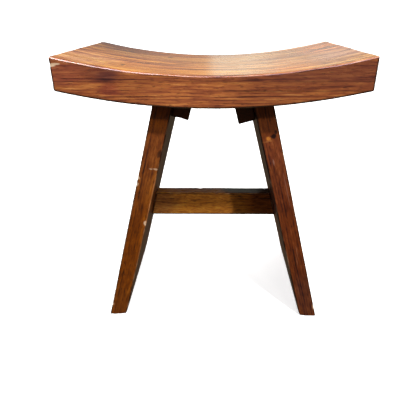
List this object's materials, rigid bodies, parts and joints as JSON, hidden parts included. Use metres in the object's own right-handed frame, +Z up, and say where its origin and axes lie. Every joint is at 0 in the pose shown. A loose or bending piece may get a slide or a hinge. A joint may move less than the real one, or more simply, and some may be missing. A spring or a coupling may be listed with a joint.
{
  "type": "bench stool",
  "caption": "Wooden bench stool with a seat dished along its length, on splayed plank legs with cleats under the seat and a stretcher between the planks.",
  "frame": {"origin": "on the floor, under the middle of the seat", "axes": "+X along the seat, +Y from front to back, +Z up"},
  "size_m": [0.45, 0.305, 0.466],
  "materials": {
    "seat_wood": "gloss varnish, worn to bare wood along the edges",
    "leg_wood": "satin varnish, worn along the edges",
    "cleat_wood": "dark stain, matte",
    "stretcher_wood": "satin varnish over mottled grain",
    "plug_wood": "end grain, sanded flush and varnished",
    "screw_metal": "zinc-yellow plated steel, dulled"
  },
  "bodies": {
    "root": {"seat": "seat_wood", "left_leg": "leg_wood", "right_leg": "leg_wood", "left_cleat": "cleat_wood", "right_cleat": "cleat_wood", "stretcher": "stretcher_wood", "left_seat_screws": "screw_metal", "right_seat_screws": "screw_metal", "left_leg_screws": "screw_metal", "right_leg_screws": "screw_metal", "left_stretcher_screws": "screw_metal", "right_stretcher_screws": "screw_metal", "left_leg_plugs": "plug_wood", "right_leg_plugs": "plug_wood"}
  },
  "joints": []
}
